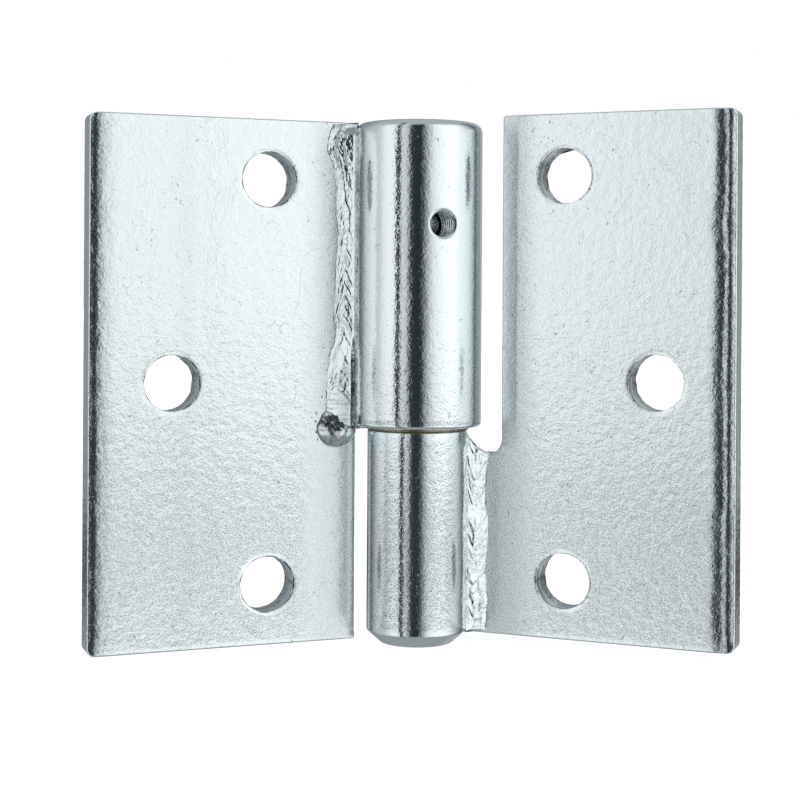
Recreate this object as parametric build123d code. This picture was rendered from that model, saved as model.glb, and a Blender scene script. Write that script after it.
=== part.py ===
from build123d import *
import os
from math import atan2, cos, radians, sin, sqrt

os.makedirs("parts", exist_ok=True)

# Heavy weld-built lift-off butt hinge, zinc plated.
# Two flat drilled plates (leaves) are each welded to a barrel. The lower barrel is turned
# in one piece with the pin that stands up from it, the upper barrel is a closed socket that
# drops over the pin, and a thin brass washer carries it. All lengths in millimetres.
#
# Everything is laid out about the hinge axis first: axis = Z, the fixed leaf runs along +X,
# the leaves' front faces look to -Y, z = 0 is the bottom edge of the fixed leaf. The lift
# leaf is laid out flat along -X and then folded forward by FOLD. At the end the whole hinge
# is moved so that the origin is the middle of the fixed leaf's two-hole line, on its back.

# ---------------------------------------------------------------- leaves
LEAF_H = 100.0          # height of both plates
LEAF_T = 6.0            # plate thickness
SETBACK = 6.25          # front face of a plate behind the axis plane
FIXED_OUT = 60.1        # axis to outer edge, fixed leaf
LIFT_OUT = 62.3         # axis to outer edge, lift leaf
LIFT_DROP = 1.4         # the lift leaf hangs this much lower than the fixed leaf
FOLD = 45.0             # how far the hinge is folded in the stored pose (135 between fronts)
CORNER_R = 1.4          # outer corners of the plates
# rolled-over front edges of the sheared plates: width and depth
FIXED_ROLL = (4.0, 1.2)     # fixed leaf, outer edge
LIFT_ROLL = (2.4, 0.6)      # lift leaf, outer edge
INNER_ROLL = (3.4, 0.5)     # both leaves, inner edge and the edge of the notch

NOTCH_X = 14.8          # edge of the notch that clears the upper barrel
NOTCH_Z = 34.7          # floor of the notch
NOTCH_R = 2.6           # its inner corner

HOLE_R = 5.2            # bolt holes
HOLE_CH = 0.3           # rolled rim of the holes, front side
HOLE_PITCH = 77.0       # the two inner holes
FIXED_HOLE_X, FIXED_HOLE_X2 = 27.4, 45.3    # axis to inner pair / to the outer hole
FIXED_HOLE_Z, FIXED_HOLE_Z2 = 49.6, 49.2    # middle of the pair / the outer hole
LIFT_HOLE_X, LIFT_HOLE_X2 = 28.1, 46.8
LIFT_HOLE_Z = 50.0                          # above the lift leaf's own bottom edge

# ---------------------------------------------------------------- barrels and pin
SOCKET_R = 12.25        # upper barrel
SOCKET_Z0, SOCKET_Z1 = 40.2, 98.2
SOCKET_TOP_R = 1.8      # rounded top edge
SOCKET_LOW_R = 0.8      # rounded lower edge
BORE_R = 6.05
BORE_TOP = 90.2         # end of the full bore, drill cone beyond
BORE_CONE = 3.4
BORE_CH = 0.7
GREASE_R = 2.5          # M6 tapping size, square to the lift leaf
GREASE_Z = 78.6

POST_R = 9.6            # lower barrel
POST_Z0 = -1.3
POST_CH_R, POST_CH_Z = 2.7, 2.4     # broad chamfer under the lower barrel
PIN_R = 6.0
PIN_TOP = 88.2
PIN_CH = 1.5
GROOVE_R = 5.2          # grease groove turned round the pin, level with the grease hole

WASHER_R = 10.2
WASHER_IN = 6.2
WASHER_T = 0.6
SHOULDER_Z = SOCKET_Z0 - WASHER_T

# ---------------------------------------------------------------- welds
LIFT_LEG = 5.2          # lift side, leg on the leaf
LIFT_TOE = 23.0         # degrees round the barrel from the leaf's edge to the weld's toe
FIXED_LEG = 5.4
FIXED_TOE = 25.0
BEAD_CROWN = 0.7        # how far the bead stands proud of a straight face
BLOB_R = 4.0            # the rounded end of the lift bead below the barrel
CLEAR_R = 11.45         # kept free round the washer and shoulder

ORIGIN = (FIXED_HOLE_X, SETBACK + LEAF_T, FIXED_HOLE_Z)
BACK_Y = SETBACK + LEAF_T


def upright(radius, z0, z1, x=0.0, y=0.0):
    """Plain upright cylinder between two heights."""
    return Pos(x, y, (z0 + z1) / 2) * Cylinder(radius, z1 - z0)


def block(x0, x1, y0, y1, z0, z1):
    return Pos((x0 + x1) / 2, (y0 + y1) / 2, (z0 + z1) / 2) * Box(x1 - x0, y1 - y0, z1 - z0)


def plan_prism(edges, z0, z1):
    """Closed plan outline (edges in XY) extruded between two heights."""
    face = make_face(Wire(edges))
    solid = extrude(face, amount=z1 - z0, dir=(0, 0, 1))
    return Pos(0, 0, z0) * solid


def rollover(x_edge, inward, z0, z1, roll):
    """Cutter for the rounded-over front edge of a sheared plate.
    inward is +1 where the plate lies at larger x than the edge, -1 where it lies at smaller x."""
    y = SETBACK
    w, depth = roll
    r = (w ** 2 + depth ** 2) / (2 * depth)
    xm = x_edge + inward * w / 2
    # point of the arc half way: the arc is tangent to the face at the inner end
    ym = y + r - sqrt(r ** 2 - (w / 2) ** 2)
    a = (x_edge + inward * w, y)
    b = (xm, ym)
    c = (x_edge, y + depth)
    d = (x_edge - inward * 1.0, y + depth)
    e = (x_edge - inward * 1.0, y - 1.0)
    f = (x_edge + inward * w, y - 1.0)
    return plan_prism([
        ThreePointArc(a, b, c),
        Line(c, d), Line(d, e), Line(e, f), Line(f, a)], z0, z1)


def bolt_hole(x, z):
    """Cutter for a bolt hole square to the plate, with its rolled front rim."""
    shank = Pos(x, SETBACK + LEAF_T / 2, z) * Rot(90, 0, 0) * Cylinder(HOLE_R, LEAF_T + 4)
    rim = Pos(x, SETBACK + HOLE_CH / 2, z) * Rot(90, 0, 0) * Cone(HOLE_R, HOLE_R + HOLE_CH, HOLE_CH)
    return shank + rim


def plate(x_in, x_out, z0, z1):
    """Blank with rounded outer corners, outline in XZ, from SETBACK backwards."""
    p = block(x_in, x_out, SETBACK, BACK_Y, z0, z1)
    corners = p.edges().filter_by(Axis.Y).filter_by_position(Axis.X, x_out - 0.01, x_out + 0.01)
    return fillet(corners, CORNER_R)


# ---------------------------------------------------------------- fixed leaf
touch_fixed = sqrt(POST_R ** 2 - SETBACK ** 2)      # leaf edge meets the lower barrel here
fixed_leaf = plate(touch_fixed, FIXED_OUT, 0.0, LEAF_H)
notch = block(touch_fixed - 3, NOTCH_X, SETBACK - 1, BACK_Y + 1, NOTCH_Z, LEAF_H + 1)
notch = fillet(notch.edges().filter_by(Axis.Y)
               .filter_by_position(Axis.X, NOTCH_X - 0.01, NOTCH_X + 0.01)
               .filter_by_position(Axis.Z, NOTCH_Z - 0.01, NOTCH_Z + 0.01), NOTCH_R)
fixed_leaf = fixed_leaf - notch
fixed_leaf = fixed_leaf - rollover(FIXED_OUT, -1, -1, LEAF_H + 1, FIXED_ROLL)
fixed_leaf = fixed_leaf - rollover(NOTCH_X, +1, NOTCH_Z + NOTCH_R, LEAF_H + 1, INNER_ROLL)
for hx, hz in ((FIXED_HOLE_X, FIXED_HOLE_Z + HOLE_PITCH / 2),
               (FIXED_HOLE_X, FIXED_HOLE_Z - HOLE_PITCH / 2),
               (FIXED_HOLE_X2, FIXED_HOLE_Z2)):
    fixed_leaf = fixed_leaf - bolt_hole(hx, hz)

# ---------------------------------------------------------------- lower barrel with its pin
post_profile = make_face(Polyline(
    (0, POST_Z0), (POST_R - POST_CH_R, POST_Z0), (POST_R, POST_Z0 + POST_CH_Z),
    (POST_R, SHOULDER_Z - 0.3), (POST_R - 0.3, SHOULDER_Z),
    (PIN_R, SHOULDER_Z), (PIN_R, GREASE_Z - 3.8), (GROOVE_R, GREASE_Z - 3.0),
    (GROOVE_R, GREASE_Z + 3.0), (PIN_R, GREASE_Z + 3.8),
    (PIN_R, PIN_TOP - PIN_CH), (PIN_R - PIN_CH, PIN_TOP), (0, PIN_TOP),
    (0, POST_Z0)))
pin_barrel = revolve(Plane.XZ * post_profile, Axis.Z, 360)

# ---------------------------------------------------------------- thrust washer
washer_profile = make_face(Polyline(
    (WASHER_IN, SHOULDER_Z), (WASHER_R - 0.2, SHOULDER_Z), (WASHER_R, SHOULDER_Z + 0.2),
    (WASHER_R, SOCKET_Z0), (WASHER_IN, SOCKET_Z0), (WASHER_IN, SHOULDER_Z)))
thrust_washer = revolve(Plane.XZ * washer_profile, Axis.Z, 360)

# ---------------------------------------------------------------- fixed side welds
# The front bead fills the corner between the lower barrel and the leaf's front face, the
# back bead the groove behind, between the leaf's inner edge and the barrel.
def bead_edges(r_barrel, x_touch, leg, toe_deg, crown):
    """Plan outline of a front bead on the +X side; the barrel itself is cut out later."""
    # angle of the toe seen from the axis, from +X towards +Y
    ta = atan2(SETBACK, x_touch) - radians(toe_deg)
    a = (r_barrel * cos(ta), r_barrel * sin(ta))
    b = (x_touch + leg, SETBACK)
    mx, my = (a[0] + b[0]) / 2, (a[1] + b[1]) / 2
    dx, dy = b[0] - a[0], b[1] - a[1]
    n = sqrt(dx * dx + dy * dy)
    # outward is away from the corner
    ox, oy = dy / n, -dx / n
    m = (mx + ox * crown, my + oy * crown)
    c = (x_touch + leg, SETBACK + 0.8)
    d = (x_touch - 1.5, SETBACK + 0.8)
    return [ThreePointArc(a, m, b), Line(b, c), Line(c, d), Line(d, (a[0] * 0.7, a[1] * 0.7)),
            Line((a[0] * 0.7, a[1] * 0.7), a)]


def groove_edges(r_barrel, x_touch, x_foot, y_edge):
    """Plan outline of a back bead: from the leaf's inner edge to the barrel's back."""
    yf = sqrt(r_barrel ** 2 - x_foot ** 2)
    e = (x_touch, y_edge)
    f = (x_foot, yf)
    m = ((e[0] + f[0]) / 2, (e[1] + f[1]) / 2 + 0.12)
    g = (x_foot * 0.7, yf * 0.7)
    h = (x_touch, SETBACK - 0.5)
    return [ThreePointArc(f, m, e), Line(e, h), Line(h, g), Line(g, f)]


post_rod = upright(POST_R, -10, SHOULDER_Z + 5)
fixed_front_weld = plan_prism(bead_edges(POST_R, touch_fixed, FIXED_LEG, FIXED_TOE, BEAD_CROWN),
                              0.6, 39.1)
# its top end sweeps in a hollow curve from the barrel down to the floor of the notch
sweep_face = make_face(Wire([
    ThreePointArc((9.3, -20, 39.0), (10.5, -20, 36.1), (12.6, -20, NOTCH_Z)),
    Line((12.6, -20, NOTCH_Z), (25, -20, NOTCH_Z)), Line((25, -20, NOTCH_Z), (25, -20, 45)),
    Line((25, -20, 45), (9.3, -20, 45)), Line((9.3, -20, 45), (9.3, -20, 39.0))]))
hollow = extrude(sweep_face, amount=40, dir=(0, 1, 0))
fixed_front_weld = fixed_front_weld - hollow - post_rod - fixed_leaf

fixed_back_weld = plan_prism(groove_edges(POST_R, touch_fixed, -1.2, 11.5), 0.6, 34.0)
fixed_back_weld = fixed_back_weld - post_rod - fixed_leaf - fixed_front_weld

# ---------------------------------------------------------------- upper barrel (closed socket)
socket = upright(SOCKET_R, SOCKET_Z0, SOCKET_Z1)
socket = fillet(socket.edges().filter_by(GeomType.CIRCLE).sort_by(Axis.Z)[-1], SOCKET_TOP_R)
socket = fillet(socket.edges().filter_by(GeomType.CIRCLE).sort_by(Axis.Z)[0], SOCKET_LOW_R)
bore_profile = make_face(Polyline(
    (0, SOCKET_Z0 - 1), (BORE_R + BORE_CH + 1, SOCKET_Z0 - 1), (BORE_R, SOCKET_Z0 + BORE_CH),
    (BORE_R, BORE_TOP), (0, BORE_TOP + BORE_CONE), (0, SOCKET_Z0 - 1)))
bore = revolve(Plane.XZ * bore_profile, Axis.Z, 360)
grease = Pos(0, -SOCKET_R / 2 - 1, GREASE_Z) * Rot(90, 0, 0) * Cylinder(GREASE_R, SOCKET_R + 2)
socket_barrel = socket - bore - grease
socket_rod = upright(SOCKET_R, SOCKET_Z0, SOCKET_Z1 + 5)

# ---------------------------------------------------------------- lift leaf, laid out flat
touch_lift = sqrt(SOCKET_R ** 2 - SETBACK ** 2)
lift_z0, lift_z1 = -LIFT_DROP, LEAF_H - LIFT_DROP
lift_leaf = plate(touch_lift, LIFT_OUT, lift_z0, lift_z1)
lift_leaf = lift_leaf - rollover(LIFT_OUT, -1, lift_z0 - 1, lift_z1 + 1, LIFT_ROLL)
lift_leaf = lift_leaf - rollover(touch_lift, +1, lift_z0 - 1, lift_z1 + 1, INNER_ROLL)
for hx, hz in ((LIFT_HOLE_X, lift_z0 + LIFT_HOLE_Z + HOLE_PITCH / 2),
               (LIFT_HOLE_X, lift_z0 + LIFT_HOLE_Z - HOLE_PITCH / 2),
               (LIFT_HOLE_X2, lift_z0 + LIFT_HOLE_Z)):
    lift_leaf = lift_leaf - bolt_hole(hx, hz)

# front bead with the rounded blob it ends in, just below the barrel
bead = plan_prism(bead_edges(SOCKET_R, touch_lift, LIFT_LEG, LIFT_TOE, BEAD_CROWN),
                  SOCKET_Z0 + 0.4, SOCKET_Z1 - 0.1)
blob = Pos(touch_lift + 3.7, SETBACK + 0.2, SOCKET_Z0 - 0.6) * Sphere(BLOB_R)
front_of_leaf = block(touch_lift - 2, 30, SETBACK - 10, SETBACK + 0.8, 30, 60)
lift_front_weld = bead + (blob & front_of_leaf)
lift_front_weld = (lift_front_weld - socket_rod - lift_leaf
                   - upright(CLEAR_R, 20, SOCKET_Z0 + 0.001))

back_bead = plan_prism(groove_edges(SOCKET_R, touch_lift, 2.6, 12.1),
                       SOCKET_Z0 - 1.2, SOCKET_Z1 - 0.5)
lift_back_weld = (back_bead - socket_rod - lift_leaf - lift_front_weld
                  - upright(CLEAR_R + 0.3, 20, SOCKET_Z0 + 0.001))


def fold(part):
    """From the flat layout on the +X side to the lift side's stored place."""
    return Rot(0, 0, FOLD) * mirror(part, Plane.YZ)


nodes = {
    "fixed_leaf": fixed_leaf,
    "pin_barrel": pin_barrel,
    "fixed_front_weld": fixed_front_weld,
    "fixed_back_weld": fixed_back_weld,
    "thrust_washer": thrust_washer,
    "lift_leaf": fold(lift_leaf),
    "socket_barrel": fold(socket_barrel),
    "lift_front_weld": fold(lift_front_weld),
    "lift_back_weld": fold(lift_back_weld),
}

for name, part in nodes.items():
    solids = part.solids()
    keep = max(solids, key=lambda s: s.volume)
    placed = Pos(-ORIGIN[0], -ORIGIN[1], -ORIGIN[2]) * keep
    nodes[name] = placed
    export_step(placed, "parts/" + name + ".step")
    print(name, len(solids), round(keep.volume, 1), keep.is_valid)
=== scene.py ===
import bpy
import bmesh
import math
import numpy as np
from mathutils import Matrix, Vector
from mathutils.geometry import delaunay_2d_cdt


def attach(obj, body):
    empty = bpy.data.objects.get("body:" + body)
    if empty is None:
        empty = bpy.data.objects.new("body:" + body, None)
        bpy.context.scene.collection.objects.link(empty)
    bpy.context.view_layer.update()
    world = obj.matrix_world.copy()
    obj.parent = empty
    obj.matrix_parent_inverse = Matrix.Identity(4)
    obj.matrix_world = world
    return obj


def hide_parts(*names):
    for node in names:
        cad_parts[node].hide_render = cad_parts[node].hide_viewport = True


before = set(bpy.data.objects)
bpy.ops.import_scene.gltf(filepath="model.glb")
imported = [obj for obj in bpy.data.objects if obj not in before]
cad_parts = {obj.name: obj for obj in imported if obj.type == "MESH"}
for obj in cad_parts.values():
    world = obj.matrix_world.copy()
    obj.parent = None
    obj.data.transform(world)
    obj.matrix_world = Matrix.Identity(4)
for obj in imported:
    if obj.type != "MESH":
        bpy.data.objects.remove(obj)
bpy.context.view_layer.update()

# ------------------------------------------------------------------ sizes, in millimetres
# Laid out as the hinge is drawn: hinge axis = Z at x = y = 0, each leaf flat along +X with
# its front towards -Y, z = 0 at the bottom edge of the fixed leaf.
ORIGIN = np.array([27.4, 12.25, 49.6])
LEAF_H, LEAF_T, SETBACK = 100.0, 6.0, 6.25
BACK_Y = SETBACK + LEAF_T
FIXED_OUT, LIFT_OUT, LIFT_DROP = 60.1, 62.3, 1.4
CORNER_R = 1.4
NOTCH_X, NOTCH_Z, NOTCH_R = 14.8, 34.7, 2.6
HOLE_R = 5.2
SOCKET_R, SOCKET_Z0, SOCKET_Z1 = 12.25, 40.2, 98.2
SOCKET_TOP_R = 1.8
BORE_R, BORE_TOP = 6.05, 90.2
GREASE_R, GREASE_Z = 2.5, 78.6
POST_R, POST_Z0, POST_CH_R, POST_CH_Z = 9.6, -1.3, 2.7, 2.4
PIN_R, PIN_TOP = 6.0, 88.2
WASHER_R, WASHER_IN = 10.0, 6.2
SHOULDER_Z = SOCKET_Z0 - 0.6
TOUCH_FIXED = math.sqrt(POST_R ** 2 - SETBACK ** 2)
TOUCH_LIFT = math.sqrt(SOCKET_R ** 2 - SETBACK ** 2)
HALF = math.sqrt(0.5)


def place(points, side):
    """Millimetres in the flat layout to metres in the row frame; the lift side is folded."""
    p = np.array(points, float)
    if side == "lift":
        x, y = -p[:, 0].copy(), p[:, 1].copy()
        p[:, 0], p[:, 1] = HALF * (x - y), HALF * (x + y)
    return (p - ORIGIN) * 0.001


# ------------------------------------------------------------------ smooth repeatable noise
def _hash(ix, iy, seed):
    h = (ix.astype(np.int64) * 374761393 + iy.astype(np.int64) * 668265263 + seed * 974634777) & 0xFFFFFFFF
    h = ((h ^ (h >> 13)) * 1274126177) & 0xFFFFFFFF
    h = (h ^ (h >> 16)) & 0xFFFFFFFF
    return h / 2147483648.0 - 1.0


def noise2(x, y, seed=0):
    x, y = np.broadcast_arrays(np.asarray(x, float), np.asarray(y, float))
    ix, iy = np.floor(x), np.floor(y)
    fx, fy = x - ix, y - iy
    fx, fy = fx * fx * fx * (fx * (fx * 6 - 15) + 10), fy * fy * fy * (fy * (fy * 6 - 15) + 10)
    a, b = _hash(ix, iy, seed), _hash(ix + 1, iy, seed)
    c, d = _hash(ix, iy + 1, seed), _hash(ix + 1, iy + 1, seed)
    return (a * (1 - fx) + b * fx) * (1 - fy) + (c * (1 - fx) + d * fx) * fy


def fbm(x, y, seed=0, octaves=3, gain=0.5):
    total, amp, norm = 0.0, 1.0, 0.0
    for k in range(octaves):
        total = total + amp * noise2(np.asarray(x) * 2 ** k + 17.3 * k, np.asarray(y) * 2 ** k - 9.1 * k, seed + 31 * k)
        norm += amp
        amp *= gain
    return total / norm


def smooth(t):
    t = np.clip(t, 0, 1)
    return t * t * (3 - 2 * t)


# ------------------------------------------------------------------ meshes
def make_piece(name, verts, faces, rough=None, weld=2e-6, sharp=None):
    mesh = bpy.data.meshes.new(name)
    mesh.from_pydata([tuple(v) for v in verts], [], faces)
    if rough is not None:
        at = mesh.attributes.new("wear_and_shade", "FLOAT", "POINT")
        at.data.foreach_set("value", np.asarray(rough, np.float32))
    bm = bmesh.new()
    bm.from_mesh(mesh)
    bmesh.ops.remove_doubles(bm, verts=bm.verts, dist=weld)
    bmesh.ops.dissolve_degenerate(bm, dist=1e-7, edges=bm.edges)
    bmesh.ops.recalc_face_normals(bm, faces=bm.faces)
    if bm.calc_volume(signed=True) < 0:
        bmesh.ops.reverse_faces(bm, faces=bm.faces)
    loose = [v for v in bm.verts if not v.link_faces]
    if loose:
        bmesh.ops.delete(bm, geom=loose, context="VERTS")
    open_edges = sum(1 for e in bm.edges if len(e.link_faces) != 2)
    bm.to_mesh(mesh)
    bm.free()
    mesh.polygons.foreach_set("use_smooth", [True] * len(mesh.polygons))
    if sharp is not None:
        mesh.set_sharp_from_angle(angle=math.radians(sharp))
    mesh.update()
    obj = bpy.data.objects.new(name, mesh)
    bpy.context.scene.collection.objects.link(obj)
    print("PIECE", name, "faces", len(mesh.polygons), "open edges", open_edges)
    return obj


class Builder:
    """Collects vertices (mm, flat layout), faces and the wear value of each vertex; beside the lift bead's toe and in
    its blob that value also stands for painted shade.
    """

    def __init__(self):
        self.v, self.f, self.r, self.n = [], [], [], 0

    def add(self, pts, rough=0.0):
        pts = np.asarray(pts, float).reshape(-1, 3)
        first = self.n
        self.v.append(pts)
        self.r.append(np.broadcast_to(np.asarray(rough, float), (len(pts),)).copy())
        self.n += len(pts)
        return first

    def strip(self, a, b, count, closed=True):
        """Quads between two rings of the same count that start at vertices a and b."""
        last = count if closed else count - 1
        for i in range(last):
            j = (i + 1) % count
            self.f.append((a + i, a + j, b + j, b + i))

    def grid(self, pts, rough=0.0, closed_u=False, closed_v=False):
        """pts of shape (rows, columns, 3)."""
        rows, cols = pts.shape[:2]
        first = self.add(pts.reshape(-1, 3), np.broadcast_to(rough, (rows, cols)).reshape(-1))
        for i in range(rows if closed_u else rows - 1):
            k = (i + 1) % rows
            for j in range(cols if closed_v else cols - 1):
                m = (j + 1) % cols
                self.f.append((first + i * cols + j, first + i * cols + m, first + k * cols + m, first + k * cols + j))
        return first

    def fan(self, ring_first, count, centre, rough=0.0):
        c = self.add([centre], rough)
        for i in range(count):
            self.f.append((ring_first + i, ring_first + (i + 1) % count, c))

    def piece(self, name, side, **kw):
        return make_piece(name, place(np.vstack(self.v), side), self.f, np.concatenate(self.r), **kw)


def rounded(corners, step):
    """Dense counter-clockwise outline from (x, z, radius) corners: points and outward normals."""
    pts, nor = [], []
    n = len(corners)
    arcs = []
    for i in range(n):
        p = np.array(corners[i][:2], float)
        a = np.array(corners[i - 1][:2], float)
        b = np.array(corners[(i + 1) % n][:2], float)
        r = corners[i][2]
        u, w = (a - p) / np.linalg.norm(a - p), (b - p) / np.linalg.norm(b - p)
        half = math.acos(np.clip(np.dot(u, w), -1, 1)) / 2
        t = r / math.tan(half)
        turn = -np.cross(u, w)          # > 0 at a convex corner of a counter-clockwise outline
        s, e = p + u * t, p + w * t
        bis = (u + w) / np.linalg.norm(u + w)
        c = p + bis * r / math.sin(half)
        a0 = math.atan2(*(s - c)[::-1])
        a1 = math.atan2(*(e - c)[::-1])
        d = (a1 - a0 + math.pi) % (2 * math.pi) - math.pi
        k = max(5, int(abs(d) * r / step) + 1)
        ring = []
        for q in range(k + 1):
            ang = a0 + d * q / k
            o = np.array([math.cos(ang), math.sin(ang)])
            ring.append((c + r * o, o if turn > 0 else -o))
        arcs.append(ring)
    for i in range(n):
        pts += [q[0] for q in arcs[i]]
        nor += [q[1] for q in arcs[i]]
        s, e = arcs[i][-1][0], arcs[(i + 1) % n][0][0]
        length = np.linalg.norm(e - s)
        k = int(length / step)
        d = (e - s) / length
        for q in range(1, k):
            pts.append(s + (e - s) * q / k)
            nor.append(np.array([d[1], -d[0]]))
    return np.array(pts), np.array(nor)


def inside(poly, q):
    """Which points q lie inside the closed polygon."""
    out = np.zeros(len(q), bool)
    x, z = q[:, 0], q[:, 1]
    px, pz = poly[:, 0], poly[:, 1]
    for i in range(len(poly)):
        j = i - 1
        if pz[i] == pz[j]:
            continue
        hit = ((pz[i] > z) != (pz[j] > z))
        hit &= x < (px[j] - px[i]) * (z - pz[i]) / (pz[j] - pz[i]) + px[i]
        out ^= hit
    return out


def fill(b, loops, firsts, inner, lift, rough, outline, holes):
    """Triangulates between boundary loops whose vertices already exist, plus inner points.
    lift(points) gives the 3D place and rough(points) the wear of an inner point."""
    pts, edges, ids = [], [], []
    for loop, first in zip(loops, firsts):
        n0, n = len(pts), len(loop)
        pts += [tuple(p) for p in loop]
        edges += [(n0 + i, n0 + (i + 1) % n) for i in range(n)]
        ids += [first + i for i in range(n)]
    f0 = b.add(lift(inner), rough(inner))
    ids += [f0 + i for i in range(len(inner))]
    pts += [tuple(p) for p in inner]
    out = delaunay_2d_cdt([Vector(p) for p in pts], edges, [], 0, 1e-7, True)
    co, faces, orig = np.array([tuple(v) for v in out[0]]), out[2], out[3]
    back = [ids[o[0]] if len(o) else -1 for o in orig]
    cen = np.array([co[list(f)].mean(0) for f in faces])
    keep = inside(outline, cen)
    for hx, hz, hr in holes:
        keep &= (cen[:, 0] - hx) ** 2 + (cen[:, 1] - hz) ** 2 > hr * hr
    for f, k in zip(faces, keep):
        if k and all(back[i] >= 0 for i in f):
            b.f.append(tuple(back[i] for i in f))


# ------------------------------------------------------------------ the two plates
def fall(table):
    """Sag against distance from an edge, from (distance mm, slope) pairs, outermost first."""
    d = np.linspace(0, 6, 601)
    slope = np.interp(d, [t[0] for t in table], [t[1] for t in table])
    rest = np.cumsum(slope[::-1])[::-1] * 0.01
    return lambda x: np.interp(x, d, rest)


FIXED_EDGE = fall([(0, 0.85), (0.2, 0.72), (0.5, 0.60), (0.8, 0.44), (1.2, 0.31), (1.45, 0.20), (1.7, 0.07), (2.05, 0.06), (2.3, 0.19), (2.7, 0.25), (3.1, 0.21), (3.5, 0.18), (3.9, 0.14), (4.4, 0.06), (5.0, 0)])
LIFT_EDGE = fall([(0, 0.62), (0.35, 0.50), (0.5, 0.40), (1.0, 0.34), (1.25, 0.26), (1.5, 0.19), (1.75, 0.12), (2.2, 0.10), (3.0, 0.08), (3.8, 0.05), (5.0, 0)])
INNER_EDGE = fall([(0, 0.24), (0.4, 0.150), (2.7, 0.135), (2.95, 0.09), (3.3, 0)])
LIFT_INNER = fall([(0, 0.55), (0.3, 0.30), (0.6, 0.20), (1.2, 0.14), (1.6, 0.07), (2.0, 0.045), (2.9, 0.032), (3.4, 0.015), (3.8, 0)])


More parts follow.
